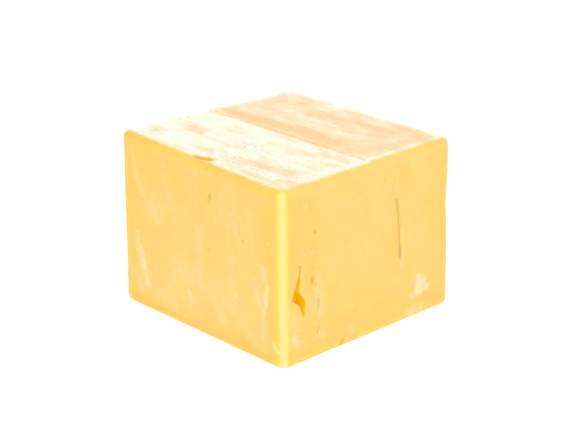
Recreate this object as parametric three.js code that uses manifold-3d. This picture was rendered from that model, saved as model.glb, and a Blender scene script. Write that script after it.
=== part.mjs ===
// A block of monterey jack cheese: a length cut from a square loaf and stood on its cut end.
// The four upright faces are the sides of the loaf, with its rounded edges. The top is a wire cut,
// made from two sides, which met a little out of line and left a low step across the middle.
//
// Millimetres, +Z up. The origin is the middle of the base. The near corner is at +X -Y: the right
// face looks along +X and the left face along -Y.
import * as THREE from "three";
import { mergeVertices } from "three/addons/utils/BufferGeometryUtils.js";
import Module from "manifold-3d";

// Driving dimensions of the block
const WIDTH = 90.2;
const DEPTH = 88.7;
const HEIGHT = 69;
const CORNER_RADIUS = 3.8; // the loaf's upright edges, seen from above
const TOP_ROUNDING = 2.6; // how far down the top edges are rounded
const BASE_ROUNDING = 3.1; // how far up the bottom edges are rounded

// The mesh of the block: steps on each face, and in each half of a rounded edge
const FACE_STEP = 4.6;
const EDGE_STEPS = 3;

// How far each corner has drifted from a true block, at the top and at the base
const CORNERS = {
  near: { x: 1, y: -1, top: [0.17, -0.22, -0.73], base: [0.21, 0.28] },
  left: { x: -1, y: -1, top: [-0.29, 0.33, 1.47], base: [-0.1, -0.63] },
  right: { x: 1, y: 1, top: [-0.54, -0.55, -0.78], base: [0.01, 0.49] },
  far: { x: -1, y: 1, top: [0.53, 0.3, -1.15], base: [0, 0] },
};

// The step in the cut top: the far half stands higher, and the line between them runs along X
const STEP_RISE = 0.5;
const STEP_RUN = 0.7; // the riser is this wide, seen from above
const STEP_LEFT = -1.6; // the line's Y at the left edge of the top
const STEP_RIGHT = 2;
const STEP_FADE = 14; // below this depth the sides don't show the step

// Waves in the faces: height from middle to crest, and the two lengths that they repeat in
const WAVES = { height: 0.13, long: 57, short: 23, reach: 18 };

// A shallow hollow in the upright edge at the right
const EDGE_HOLLOW = { y: 42, z: 43, wide: 9, high: 11, deep: 0.45 };

// What breaks the faces. A place is given across the face and above the base, or, on the top,
// along X and Y. "deep" is measured in from the face, "turn" is in degrees.
const TEAR = {
  face: "right",
  deep: 5,
  floor: 0.75, // size of the floor, as a share of the mouth
  floorShift: [-0.5, 0.8],
  outline: [
    [-35.7, 39.4],
    [-36.3, 36.5],
    [-37.1, 33.3],
    [-39.6, 27.4],
    [-36.3, 24.5],
    [-34.5, 19.6],
    [-33.1, 20.4],
    [-33, 23.5],
    [-35.5, 27.7],
    [-36.2, 29.4],
    [-35.6, 33.5],
    [-35.3, 37],
  ],
};
const CRACKS = [
  { face: "right", top: [13.8, 52.4], bow: [15.6, 41], foot: [16.1, 26.7], wide: 0.55, deep: 2.2 },
  { face: "right", top: [-26.6, 26.2], bow: [-26.2, 23], foot: [-26.5, 19.6], wide: 0.7, deep: 0.9 },
  { face: "right", top: [-27.2, 13.2], bow: [-27.4, 11.5], foot: [-27.3, 9.6], wide: 0.5, deep: 0.8 },
];
const PITS = [
  { face: "right", at: [-28.3, 50.6], across: 0.7, up: 1.1, deep: 0.9, turn: -35 },
  { face: "right", at: [-29.2, 32.8], across: 0.8, up: 1.9, deep: 0.9, turn: -25 },
  { face: "right", at: [26.7, 51.7], across: 0.6, up: 0.6, deep: 0.5, turn: 0 },
  { face: "right", at: [7.2, 61.7], across: 0.6, up: 0.9, deep: 0.5, turn: 10 },
  { face: "right", at: [-14.5, 2.2], across: 1.1, up: 1.9, deep: 1.2, turn: -20 },
  { face: "left", at: [7.1, 57.2], across: 0.6, up: 0.9, deep: 1, turn: 20 },
  { face: "left", at: [6.7, 55.5], across: 1, up: 1.7, deep: 0.3, turn: 0 },
  { face: "left", at: [5.7, 35.8], across: 0.5, up: 0.8, deep: 0.6, turn: 25 },
  { face: "left", at: [24.7, 44.9], across: 0.5, up: 0.9, deep: 0.6, turn: -15 },
  { face: "top", at: [0.4, -40.4], across: 4.1, up: 0.8, deep: 0.8, turn: 16 },
];
const PIT_SIDES = 12;
const PIT_RINGS = 8;
const CRACK_POINTS = 7; // along each side of a crack
const CLEAR = 1; // how far a cutting shape stands out of the face

const COLOUR = 0xfdd277;
const ROUGHNESS = 0.42;

const manifold = await Module();
manifold.setup();

const smooth = (from, to, value) => THREE.MathUtils.smoothstep(value, from, to);

// Turns a closed three.js geometry into a solid that can be joined and cut.
function solidOf(geometry) {
  geometry.deleteAttribute("normal");
  geometry.deleteAttribute("uv");
  const merged = mergeVertices(geometry, 1e-4);
  return new manifold.Manifold(
    new manifold.Mesh({
      numProp: 3,
      vertProperties: merged.attributes.position.array,
      triVerts: new Uint32Array(merged.index.array),
    }),
  );
}

function geometryOf(solid) {
  const { vertProperties, triVerts } = solid.getMesh();
  const geometry = new THREE.BufferGeometry();
  geometry.setAttribute("position", new THREE.BufferAttribute(vertProperties, 3));
  geometry.setIndex(new THREE.BufferAttribute(triVerts, 1));
  return geometry;
}

// Moves every point of a geometry by a function of its place.
function reshape(geometry, move) {
  const position = geometry.getAttribute("position");
  const point = new THREE.Vector3();
  for (let i = 0; i < position.count; i++) {
    point.fromBufferAttribute(position, i);
    move(point);
    position.setXYZ(i, point.x, point.y, point.z);
  }
  return geometry;
}

// The places of the grid lines along one axis, from one face of the block to the other: close
// together in the rounded edges, so that a rounded edge turns by equal angles, and even between.
// Where the middle is a step, it gets two lines of its own.
function gridLines(low, high, lowRadius, highRadius, middle = []) {
  const turns = Array.from({ length: EDGE_STEPS }, (_, i) =>
    Math.tan(((i + 1) / EDGE_STEPS) * (Math.PI / 4)),
  );
  const stops = [low + lowRadius, ...middle, high - highRadius];
  const lines = turns.map((t) => low + lowRadius - lowRadius * t).reverse();
  stops.forEach((stop, i) => {
    const before = stops[i - 1];
    const steps = i === 0 ? 1 : Math.max(1, Math.round((stop - before) / FACE_STEP));
    for (let k = 1; k <= steps; k++)
      lines.push(i === 0 ? stop : before + ((stop - before) * k) / steps);
  });
  return [...lines, ...turns.map((t) => high - highRadius + highRadius * t)];
}

// The block with its edges rounded: each point of a box is carried onto an ellipsoid that rolls
// inside the edges. Its radius seen from above is CORNER_RADIUS.
function roundedBlock() {
  const xs = gridLines(-WIDTH / 2, WIDTH / 2, CORNER_RADIUS, CORNER_RADIUS);
  const ys = gridLines(-DEPTH / 2, DEPTH / 2, CORNER_RADIUS, CORNER_RADIUS, [
    -STEP_RUN / 2,
    STEP_RUN / 2,
  ]);
  const zs = gridLines(0, HEIGHT, BASE_ROUNDING, TOP_ROUNDING);
  const cells = [xs.length - 1, ys.length - 1, zs.length - 1];
  const box = new THREE.BoxGeometry(1, 1, 1, ...cells);
  const line = (lines, share) => lines[Math.round((share + 0.5) * (lines.length - 1))];
  const inner = new THREE.Box3(
    new THREE.Vector3(CORNER_RADIUS - WIDTH / 2, CORNER_RADIUS - DEPTH / 2, BASE_ROUNDING),
    new THREE.Vector3(WIDTH / 2 - CORNER_RADIUS, DEPTH / 2 - CORNER_RADIUS, HEIGHT - TOP_ROUNDING),
  );
  const core = new THREE.Vector3();
  const radii = new THREE.Vector3();
  return reshape(box, (point) => {
    point.set(line(xs, point.x), line(ys, point.y), line(zs, point.z));
    inner.clampPoint(point, core);
    const rounding = point.z > HEIGHT / 2 ? TOP_ROUNDING : BASE_ROUNDING;
    radii.set(CORNER_RADIUS, CORNER_RADIUS, rounding);
    point.sub(core).divide(radii).normalize().multiply(radii).add(core);
  });
}

// How far a face is waved at a place across it. Each face starts somewhere else in the wave.
function wave(across, up, start) {
  const long = Math.sin((2 * Math.PI * (across + 0.4 * up)) / WAVES.long + start);
  const short = Math.sin((2 * Math.PI * (up - 0.6 * across)) / WAVES.short + 2 * start);
  return WAVES.height * (long + 0.5 * short);
}

// Carries any point of the true block to where it is in the real one: the corners' drift, the
// waves of the faces, the hollow in the right edge and the step in the top. The base stays flat.
function settle(point) {
  const { x, y, z } = point;
  const across = (2 * x) / WIDTH;
  const back = (2 * y) / DEPTH;
  const up = z / HEIGHT;
  for (const corner of Object.values(CORNERS)) {
    const near = ((1 + corner.x * across) * (1 + corner.y * back)) / 4;
    point.x += near * (up * corner.top[0] + (1 - up) * corner.base[0]);
    point.y += near * (up * corner.top[1] + (1 - up) * corner.base[1]);
    point.z += near * up * corner.top[2];
  }

  const offBase = smooth(0, 2 * BASE_ROUNDING, z);
  const byFace = (distance) => 1 - smooth(0, WAVES.reach, distance);
  point.x += offBase * byFace(WIDTH / 2 - x) * wave(y, z, 0.4);
  point.x -= offBase * byFace(WIDTH / 2 + x) * wave(y, z, 2.1);
  point.y += offBase * byFace(DEPTH / 2 - y) * wave(x, z, 3.3);
  point.y -= offBase * byFace(DEPTH / 2 + y) * wave(x, z, 4.6);
  point.z += byFace(HEIGHT - z) * wave(x, y, 5.7);

  const hollow = Math.hypot(
    (y - EDGE_HOLLOW.y) / EDGE_HOLLOW.wide,
    (z - EDGE_HOLLOW.z) / EDGE_HOLLOW.high,
  );
  point.x -= EDGE_HOLLOW.deep * byFace(WIDTH / 2 - x) * (1 - smooth(0, 1, hollow));

  const byTop = 1 - smooth(0, STEP_FADE, HEIGHT - z);
  const stepLine = THREE.MathUtils.lerp(STEP_LEFT, STEP_RIGHT, (across + 1) / 2);
  point.y += byTop * stepLine * (1 - Math.abs(back));
  point.z += byTop * STEP_RISE * smooth(-STEP_RUN / 2, STEP_RUN / 2, y);
}

// The frame of a face: its first axis runs across the face, its second up it, its third out of it.
function faceFrame(face) {
  const axis = {
    right: [new THREE.Vector3(0, 1, 0), new THREE.Vector3(0, 0, 1), new THREE.Vector3(1, 0, 0)],
    left: [new THREE.Vector3(1, 0, 0), new THREE.Vector3(0, 0, 1), new THREE.Vector3(0, -1, 0)],
    top: [new THREE.Vector3(1, 0, 0), new THREE.Vector3(0, 1, 0), new THREE.Vector3(0, 0, 1)],
  }[face];
  const out = { right: WIDTH / 2, left: DEPTH / 2, top: HEIGHT }[face];
  return new THREE.Matrix4().makeBasis(...axis).setPosition(axis[2].clone().multiplyScalar(out));
}

// A cutting shape that sinks an outline into a face, narrowing to a smaller floor.
function sunkOutline({ face, outline, deep, floor, floorShift = [0, 0] }) {
  const shape = new THREE.Shape(outline.map(([across, up]) => new THREE.Vector2(across, up)));
  const geometry = new THREE.ExtrudeGeometry(shape, { depth: deep + CLEAR, bevelEnabled: false });
  geometry.translate(0, 0, -deep);
  const middle = new THREE.Vector2();
  outline.forEach(([across, up]) => middle.add(new THREE.Vector2(across, up)));
  middle.divideScalar(outline.length);
  reshape(geometry, (point) => {
    if (point.z > -deep / 2) return;
    point.x = middle.x + floorShift[0] + floor * (point.x - middle.x);
    point.y = middle.y + floorShift[1] + floor * (point.y - middle.y);
  });
  return geometry.applyMatrix4(faceFrame(face));
}

// A narrow crack: a bowed line that is widest halfway and closes at both ends.
function crack({ face, top, bow, foot, wide, deep }) {
  const line = new THREE.QuadraticBezierCurve(
    new THREE.Vector2(...top),
    new THREE.Vector2(...bow),
    new THREE.Vector2(...foot),
  );
  const outline = [];
  for (const side of [-1, 1]) {
    for (let i = 0; i < CRACK_POINTS; i++) {
      const along = side < 0 ? i / CRACK_POINTS : 1 - i / CRACK_POINTS;
      const place = line.getPoint(along);
      const half = (side * wide * Math.sin(Math.PI * along)) / 2;
      outline.push([place.x + half, place.y]);
    }
  }
  return sunkOutline({ face, outline, deep, floor: 1 });
}

// A pit: half an ellipsoid sunk into a face.
function pit({ face, at, across, up, deep, turn }) {
  return new THREE.SphereGeometry(1, PIT_SIDES, PIT_RINGS)
    .scale(across, up, deep)
    .rotateZ(THREE.MathUtils.degToRad(turn))
    .translate(at[0], at[1], 0)
    .applyMatrix4(faceFrame(face));
}

function cheeseBlock() {
  let block = solidOf(reshape(roundedBlock(), settle));
  const cuts = [sunkOutline(TEAR), ...CRACKS.map(crack), ...PITS.map(pit)];
  for (const cut of cuts) block = block.subtract(solidOf(reshape(cut, settle)));

  const geometry = geometryOf(block);
  geometry.computeBoundingBox();
  const middle = geometry.boundingBox.getCenter(new THREE.Vector3());
  geometry.translate(-middle.x, -middle.y, -geometry.boundingBox.min.z);
  geometry.computeVertexNormals();

  const cheese = new THREE.MeshStandardMaterial({
    color: COLOUR,
    roughness: ROUGHNESS,
    metalness: 0,
    flatShading: true,
  });
  const mesh = new THREE.Mesh(geometry, cheese);
  mesh.name = "cheese_block";
  return mesh;
}

const cheese = new THREE.Group();
cheese.add(cheeseBlock());

export default cheese;
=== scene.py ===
# %% [markdown]
# # A block of monterey jack cheese
#
# The object is one length of a square cheese loaf, stood on its cut end. Its four upright faces
# are the smooth, slightly waxy sides of the loaf. The top is a wire cut that has dried to a pale
# skin. The cut was made from two sides and left a low step across the middle.
#
# The lesson keeps to one order: the frame, the camera, the light, the true block, the damage that
# is cut into it, the unevenness of a real block, and at last the paste and its skin.

# %% Load the frame
import math

import bpy
import numpy as np
from mathutils import Matrix, Vector


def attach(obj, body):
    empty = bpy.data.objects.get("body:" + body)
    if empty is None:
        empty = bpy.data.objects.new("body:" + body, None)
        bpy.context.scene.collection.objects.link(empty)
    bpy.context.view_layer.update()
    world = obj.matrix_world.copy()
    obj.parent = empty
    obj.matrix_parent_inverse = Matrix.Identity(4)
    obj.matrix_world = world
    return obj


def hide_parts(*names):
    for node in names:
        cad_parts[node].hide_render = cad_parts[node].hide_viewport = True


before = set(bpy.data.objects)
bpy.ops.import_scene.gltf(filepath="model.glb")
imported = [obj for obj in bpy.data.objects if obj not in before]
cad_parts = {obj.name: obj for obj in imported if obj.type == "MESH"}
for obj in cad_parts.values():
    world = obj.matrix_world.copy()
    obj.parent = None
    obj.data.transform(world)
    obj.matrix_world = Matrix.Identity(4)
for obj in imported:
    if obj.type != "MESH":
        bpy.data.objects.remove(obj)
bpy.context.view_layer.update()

MM = 0.001

# %% [markdown]
# ## The camera
#
# The photograph looks down on the near upright edge from a little above. A camera can be placed by
# eye, or worked out from the edges of the block. Here its angles and distance were worked out from
# the block's outline, and it stands at the end of a line from the block's middle.

# %% Camera
AZIMUTH = math.radians(47.16)
ELEVATION = math.radians(21.04)
ROLL = math.radians(-0.28)
DISTANCE = 633.4 * MM
LENS = 104.8
NEAREST_SEEN = 0.05
ASIDE = Vector((-1.29, -0.13)) * MM
HEIGHT = 69 * MM

middle = Vector((0, 0, HEIGHT / 2))
back = Vector(
    (
        math.sin(AZIMUTH) * math.cos(ELEVATION),
        -math.cos(AZIMUTH) * math.cos(ELEVATION),
        math.sin(ELEVATION),
    )
)
right = Vector((math.cos(AZIMUTH), math.sin(AZIMUTH), 0))
up = back.cross(right)
eye = middle + back * DISTANCE + right * ASIDE.x + up * ASIDE.y

bpy.ops.object.camera_add(location=eye)
camera = bpy.context.object
turned_right = right * math.cos(ROLL) + up * math.sin(ROLL)
turned_up = up * math.cos(ROLL) - right * math.sin(ROLL)
camera.rotation_euler = Matrix((turned_right, turned_up, back)).transposed().to_euler()
camera.data.lens = LENS
camera.data.clip_start = NEAREST_SEEN
bpy.context.scene.camera = camera
print("camera is", round(eye.length, 3), "m from the middle of the base")

# %% [markdown]
# ## The light
#
# The photograph is bright and soft, with no shadow to speak of. One big light could do that, but
# the near edge carries a light stripe, so a tall soft light stands in front of it. The top is
# brighter than the sides, so a wide soft light hangs overhead, and a low one behind lights the
# two faces that the camera doesn't see.

# %% Soft lights
FRONT_POWER = 39.5
FRONT_SIZE = (0.7, 1.2)
FRONT_PLACE = (math.radians(47), math.radians(22), 2.6)
OVERHEAD_POWER = 39
OVERHEAD_SIZE = (3, 3)
OVERHEAD_HEIGHT = 2.2
BACK_POWER = 24
BACK_SIZE = (1.6, 0.35)
BACK_PLACE = (math.radians(227), math.radians(5), 2.6)


def around(turn, rise, far):
    """A place round the block: turned from the front, raised, and so many metres away."""
    level = Vector((math.sin(turn), -math.cos(turn), 0)) * math.cos(rise)
    return middle + far * (level + Vector((0, 0, math.sin(rise))))


def soft_light(name, place, power, size):
    """A rectangular soft light that faces the block."""
    bpy.ops.object.light_add(type="AREA", location=place)
    light = bpy.context.object
    light.name = name
    light.data.shape = "RECTANGLE"
    light.data.size, light.data.size_y = size
    light.data.energy = power
    light.rotation_euler = (Vector(place) - middle).to_track_quat("Z", "Y").to_euler()
    light.visible_camera = False
    print(name, "gives", power, "W")


soft_light("front_light", around(*FRONT_PLACE), FRONT_POWER, FRONT_SIZE)
soft_light("back_light", around(*BACK_PLACE), BACK_POWER, BACK_SIZE)
soft_light("overhead_light", (0, 0, OVERHEAD_HEIGHT), OVERHEAD_POWER, OVERHEAD_SIZE)

# %% [markdown]
# ## The room
#
# Behind the block the photograph is plain white. A room lit strongly enough to look white would
# drown the three lights. So the room gives little light, and a switch on the kind of ray shows it
# as white to the camera alone.

# %% Room
ROOM_LIGHT = 0.36
WHITE = (1, 1, 1, 1)

world = bpy.data.worlds.new("room")
bpy.context.scene.world = world
world.use_nodes = True
tree = world.node_tree
room = tree.nodes["Background"]
room.inputs["Color"].default_value = WHITE
room.inputs["Strength"].default_value = ROOM_LIGHT
wall = tree.nodes.new("ShaderNodeBackground")
wall.inputs["Color"].default_value = WHITE
seen = tree.nodes.new("ShaderNodeLightPath")
choice = tree.nodes.new("ShaderNodeMixShader")
tree.links.new(seen.outputs["Is Camera Ray"], choice.inputs["Fac"])
tree.links.new(room.outputs[0], choice.inputs[1])
tree.links.new(wall.outputs[0], choice.inputs[2])
tree.links.new(choice.outputs[0], tree.nodes["World Output"].inputs["Surface"])
bpy.context.scene.view_settings.view_transform = "Standard"
print("room light:", ROOM_LIGHT)

# %% [markdown]
# ## The floor
#
# The block stands on white as well. A floor that catches only shadows would leave its base too
# dark, so this one is a plain pale plane that glows a little, and throws light up into the cheese.

# %% Floor
FLOOR_SIZE = 6
FLOOR_GAP = 0.05 * MM
FLOOR_COLOUR = (0.52, 0.52, 0.52, 1)
FLOOR_GLOW = 0.74
FLOOR_ROUGHNESS = 0.9
FLOOR_SHINE = 0.1

bpy.ops.mesh.primitive_plane_add(size=FLOOR_SIZE, location=(0, 0, -FLOOR_GAP))
floor = bpy.context.object
floor.name = "floor"
floor_paint = bpy.data.materials.new("floor_paint")
floor_paint.use_nodes = True
floor_shader = floor_paint.node_tree.nodes["Principled BSDF"]
floor_shader.inputs["Base Color"].default_value = FLOOR_COLOUR
floor_shader.inputs["Roughness"].default_value = FLOOR_ROUGHNESS
floor_shader.inputs["Specular IOR Level"].default_value = FLOOR_SHINE
floor_shader.inputs["Emission Color"].default_value = WHITE
floor_shader.inputs["Emission Strength"].default_value = FLOOR_GLOW
floor.data.materials.append(floor_paint)
print("floor:", FLOOR_SIZE, "m wide")

# %% [markdown]
# ## The true block
#
# A loaf is pressed in a square mould, so its upright edges are rounded. The ends are rounded less.
# The block could be a cube with a Bevel modifier, but here the bevel is made on a stretched cube,
# and the stretch is then taken out, which leaves edges that are rounder seen from above than seen
# from the side. The faces are divided last, into cells of about 0.6 mm, so that the small damage
# has enough points to show.

# %% Sizes of the block
WIDTH = 90.2 * MM
DEPTH = 88.7 * MM
CORNER_RADIUS = 3.8 * MM
TOP_ROUNDING = 2.6 * MM
BASE_ROUNDING = 3.1 * MM
print("block in mm:", [round(side / MM, 1) for side in (WIDTH, DEPTH, HEIGHT)])


# %% Helpers for picking and editing
def only(piece):
    """Makes one object the only one selected, and the active one."""
    bpy.ops.object.select_all(action="DESELECT")
    piece.select_set(True)
    bpy.context.view_layer.objects.active = piece


def places(piece):
    """The places of an object's vertices, one row each."""
    found = np.zeros(len(piece.data.vertices) * 3)
    piece.data.vertices.foreach_get("co", found)
    return found.reshape(-1, 3)


def pick(piece, part, wanted):
    """Selects the vertices, or the edges, that an array says, and enters edit mode."""
    only(piece)
    bpy.ops.object.mode_set(mode="EDIT")
    bpy.ops.mesh.select_mode(type=part)
    bpy.ops.mesh.select_all(action="DESELECT")
    bpy.ops.object.mode_set(mode="OBJECT")
    elements = piece.data.vertices if part == "VERT" else piece.data.edges
    elements.foreach_set("select", np.asarray(wanted, bool))
    bpy.ops.object.mode_set(mode="EDIT")


def done():
    """Leaves edit mode."""
    bpy.ops.object.mode_set(mode="OBJECT")


def apply_scale(piece):
    """Moves an object's place, turn and size into its mesh."""
    only(piece)
    bpy.ops.object.transform_apply(location=True, rotation=True, scale=True)


# %% A cube with rounded edges
BEVEL_STEPS = 5

stretch = CORNER_RADIUS / TOP_ROUNDING
bpy.ops.mesh.primitive_cube_add(size=1, location=(0, 0, HEIGHT * stretch / 2))
block = bpy.context.object
block.name = "cheese"
block.scale = (WIDTH, DEPTH, HEIGHT * stretch)
apply_scale(block)
pick(block, "EDGE", np.ones(len(block.data.edges)))
bpy.ops.mesh.bevel(offset=CORNER_RADIUS, segments=BEVEL_STEPS, affect="EDGES")
done()
block.scale = (1, 1, 1 / stretch)
apply_scale(block)
pick(block, "VERT", places(block)[:, 2] < HEIGHT / 2)
bpy.ops.transform.resize(
    value=(1, 1, BASE_ROUNDING / TOP_ROUNDING), center_override=(0, 0, 0)
)
done()
print("rounded cube:", len(block.data.polygons), "faces")

# %% [markdown]
# ## The step in the top
#
# The two cuts met a little out of line. A knife line is made across the block on each side of the
# step with a bisect, because a bisect splits every face that it passes and the divisions made
# afterwards then run along it. Then all of the top beyond the line is lifted.

# %% The lines of the step
STEP_LEFT = -1.6 * MM
STEP_RIGHT = 2.0 * MM
STEP_RISE = 0.5 * MM
STEP_RUN = 0.6 * MM

step_way = Vector((WIDTH, STEP_RIGHT - STEP_LEFT, 0)).normalized()
step_normal = Vector((-step_way.y, step_way.x, 0))
step_middle = Vector((0, (STEP_LEFT + STEP_RIGHT) / 2, 0))
for side in (-0.5, 0.5):
    pick(block, "EDGE", np.ones(len(block.data.edges)))
    bpy.ops.mesh.bisect(
        plane_co=step_middle + side * STEP_RUN * step_normal, plane_no=step_normal
    )
    done()
print("block with the step's lines:", len(block.data.polygons), "faces")

# %% [markdown]
# ## Fine cells
#
# Scratches and crumbs are under a millimetre across, so the mesh needs cells of about that size.
# A Subdivision Surface would round the block again. Cutting only the long edges, along one axis
# at a time, keeps the bevels and the lines of the step as they are.

# %% Divide
CELL = 0.62 * MM
LONG = 10 * MM
STRAIGHT = 0.99


def divide_along(piece, axis, cuts):
    """Cuts every long edge that runs along one axis into equal lengths."""
    ends = np.zeros(len(piece.data.edges) * 2, int)
    piece.data.edges.foreach_get("vertices", ends)
    ends = ends.reshape(-1, 2)
    spans = np.abs(np.diff(places(piece)[ends], axis=1)[:, 0])
    lengths = np.linalg.norm(spans, axis=1)
    along = (spans[:, axis] > LONG) & (spans[:, axis] > STRAIGHT * lengths)
    pick(piece, "EDGE", along)
    bpy.ops.mesh.subdivide(number_cuts=cuts)
    done()


divide_along(block, 0, round((WIDTH - 2 * CORNER_RADIUS) / CELL))
divide_along(block, 1, round((DEPTH / 2 - CORNER_RADIUS) / CELL))
divide_along(block, 2, round((HEIGHT - 2 * TOP_ROUNDING) / CELL))
print("divided block:", len(block.data.polygons), "faces")

# %% Lift the far half of the top
HAIR = 0.01 * MM
top_edge = HEIGHT - TOP_ROUNDING - HAIR


def past_step(points):
    """How far each point lies beyond the line of the step, seen from above."""
    return (points[:, :2] - np.array(step_middle)[:2]) @ np.array(step_normal)[:2]


at = places(block)
lifted = (past_step(at) > 0) & (at[:, 2] > top_edge)
pick(block, "VERT", lifted)
bpy.ops.transform.translate(value=(0, 0, STEP_RISE))
done()
print("lifted points:", int(lifted.sum()))

# %% [markdown]
# ## What breaks the faces
#
# The right face has a torn hole in the shape of a lightning bolt, a long fine crack and a crumbly
# strip. Small pits lie on both faces, and a sliver has lifted from the near top edge. All of them
# could be painted, but they catch light and show at the edge of the block, so each is a cutting
# shape, and one Boolean takes them all out of the block.

# %% Places on a face
def face_frame(place, across, upward, out):
    """A frame whose X runs across a face, its Y up the face and its Z out of it."""
    return Matrix.Translation(place) @ Matrix((across, upward, out)).transposed().to_4x4()


FACES = {
    "right": face_frame((WIDTH / 2, 0, 0), (0, 1, 0), (0, 0, 1), (1, 0, 0)),
    "left": face_frame((0, -DEPTH / 2, 0), (1, 0, 0), (0, 0, 1), (0, -1, 0)),
    "back": face_frame((0, DEPTH / 2, 0), (-1, 0, 0), (0, 0, 1), (0, 1, 0)),
    "far": face_frame((-WIDTH / 2, 0, 0), (0, -1, 0), (0, 0, 1), (-1, 0, 0)),
    "top": face_frame((0, 0, HEIGHT), (1, 0, 0), (0, 1, 0), (0, 0, 1)),
}
print("places are given on", len(FACES), "faces")

# %% Cutting shapes
CLEAR = 0.8 * MM
NARROWING = (0.5, 1.0)
cutters = []


def set_in(piece, face):
    """Puts a shape made about the origin into a face: its X runs across the face, its Y up it."""
    piece.matrix_world = FACES[face]
    apply_scale(piece)
    cutters.append(piece)


def sunk_outline(face, outline, deep, floor_size, floor_shift=(0, 0), rough=0.0, seed=1):
    """A prism on an outline in mm: extruded into the face, narrowed, and roughened inside."""
    bpy.ops.mesh.primitive_circle_add(vertices=len(outline), fill_type="NGON")
    shape = bpy.context.object
    for vertex, (across, high) in zip(shape.data.vertices, outline):
        vertex.co = (across * MM, high * MM, CLEAR)
    pick(shape, "VERT", np.ones(len(outline)))
    bpy.ops.mesh.extrude_region_move(TRANSFORM_OT_translate={"value": (0, 0, -CLEAR)})
    for share in NARROWING:
        bpy.ops.mesh.extrude_region_move(TRANSFORM_OT_translate={"value": (0, 0, -deep * MM / 2)})
        centre = Vector(places(shape)[: len(outline)].mean(axis=0))
        size = 1 - (1 - floor_size) * share / sum(NARROWING)
        bpy.ops.transform.resize(value=(size, size, 1), center_override=centre)
        bpy.ops.transform.translate(value=Vector((*floor_shift, 0)) * MM / 2)
        if rough:
            bpy.ops.transform.vertex_random(offset=rough * MM, seed=seed)
    bpy.ops.mesh.select_all(action="SELECT")
    bpy.ops.mesh.normals_make_consistent(inside=False)
    done()
    set_in(shape, face)


# %% [markdown]
# ### The torn hole
#
# A lump of paste was pulled out and left a hole in the shape of a lightning bolt. It could be a
# plain prism, but torn cheese narrows and leans as it goes in, so its floor is smaller than its
# mouth, moved to one side and a little rough.

# %% The torn hole
TEAR = [
    (-35.6, 39.6), (-36.3, 36.5), (-37.3, 33.3), (-38.6, 30), (-39.8, 27.2), (-38.3, 25.7),
    (-36.4, 24.3), (-35.4, 21.8), (-34.7, 19.4), (-33.4, 19.3), (-32.7, 21.8), (-32.6, 24.1),
    (-33.6, 26.4), (-35.2, 27.9), (-35.8, 29.4), (-35.5, 31.5), (-35.1, 33.5), (-35.4, 35.2),
    (-34.9, 37.4),
]
sunk_outline("right", TEAR, deep=4.4, floor_size=0.8, floor_shift=(-0.3, 0.5), rough=0.15, seed=3)
print("torn hole:", len(TEAR), "corners")

# %% [markdown]
# ### The cracks
#
# The long crack opened as the block dried, and two short ones run through the crumbly strip. A
# row of points along a bent line would do, but a crack is widest halfway, so its outline is
# worked out from a bow and a width that swells and closes again.

# %% The cracks
CRACK_POINTS = 12


def crack(face, top, bow, foot, wide, deep):
    """A bowed slit that is widest halfway and closes at both ends. Places and sizes in mm."""
    top, bow, foot = Vector(top), Vector(bow), Vector(foot)
    outline = []
    for side in (-1, 1):
        for step in range(CRACK_POINTS):
            share = step / CRACK_POINTS if side < 0 else 1 - step / CRACK_POINTS
            line = top * (1 - share) ** 2 + bow * 2 * share * (1 - share) + foot * share**2
            half = side * wide * math.sin(math.pi * share) / 2
            outline.append((line.x + half, line.y))
    sunk_outline(face, outline, deep, floor_size=1)


crack("right", (13.8, 52.4), (15.6, 41), (16.1, 27.5), wide=0.27, deep=1.1)
crack("right", (-26.6, 26.2), (-26.2, 23), (-26.5, 19.6), wide=0.4, deep=0.9)
crack("right", (-27.2, 13.2), (-27.4, 11.5), (-27.3, 9.6), wide=0.4, deep=0.8)
print("cracks: 3, and", len(cutters), "cutting shapes so far")

# %% [markdown]
# ### The pits and the chip
#
# Small gas holes have opened in the faces, and a sliver has come off the near top edge. A ball
# alone would look drilled, so each is a ball that is shaken, squashed and sunk halfway into the
# face. The two hidden faces have a few as well.

# %% The pits and the chip
BALL_DIVISIONS = 3
PIT_UNEVEN = 0.1
PITS = [
    ("right", -28.3, 50.6, 0.4, 0.8, 0.6, -35),
    ("right", -29.2, 32.8, 1.25, 1.9, 0.9, -25),
    ("right", -28.2, 30.0, 0.5, 0.9, 0.4, 20),
    ("right", 26.7, 51.7, 0.5, 0.5, 0.25, 0),
    ("right", 7.2, 61.7, 0.5, 0.8, 0.22, 10),
    ("right", -14.5, 2.2, 1.0, 1.8, 1.1, -20),
    ("left", 7.1, 57.2, 0.55, 0.75, 0.55, 20),
    ("left", 6.7, 55.5, 0.8, 1.3, 0.2, 0),
    ("left", 5.7, 35.8, 0.4, 0.7, 0.5, 25),
    ("left", 24.7, 44.9, 0.4, 0.7, 0.4, -15),
    ("left", -2.7, 63.2, 0.35, 0.5, 0.4, 0),
    ("top", 0.2, -40.9, 4.0, 1.5, 1.2, 14),
    ("back", -24, 48, 0.5, 0.9, 0.6, 15),
    ("back", 18, 22, 0.6, 1.1, 0.5, -20),
    ("back", 29, 55, 0.4, 0.6, 0.4, 0),
    ("far", -15, 31, 0.5, 0.9, 0.6, -15),
    ("far", 26, 52, 0.45, 0.8, 0.4, 25),
    ("far", 8, 14, 0.7, 1.2, 0.5, 10),
]


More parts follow.
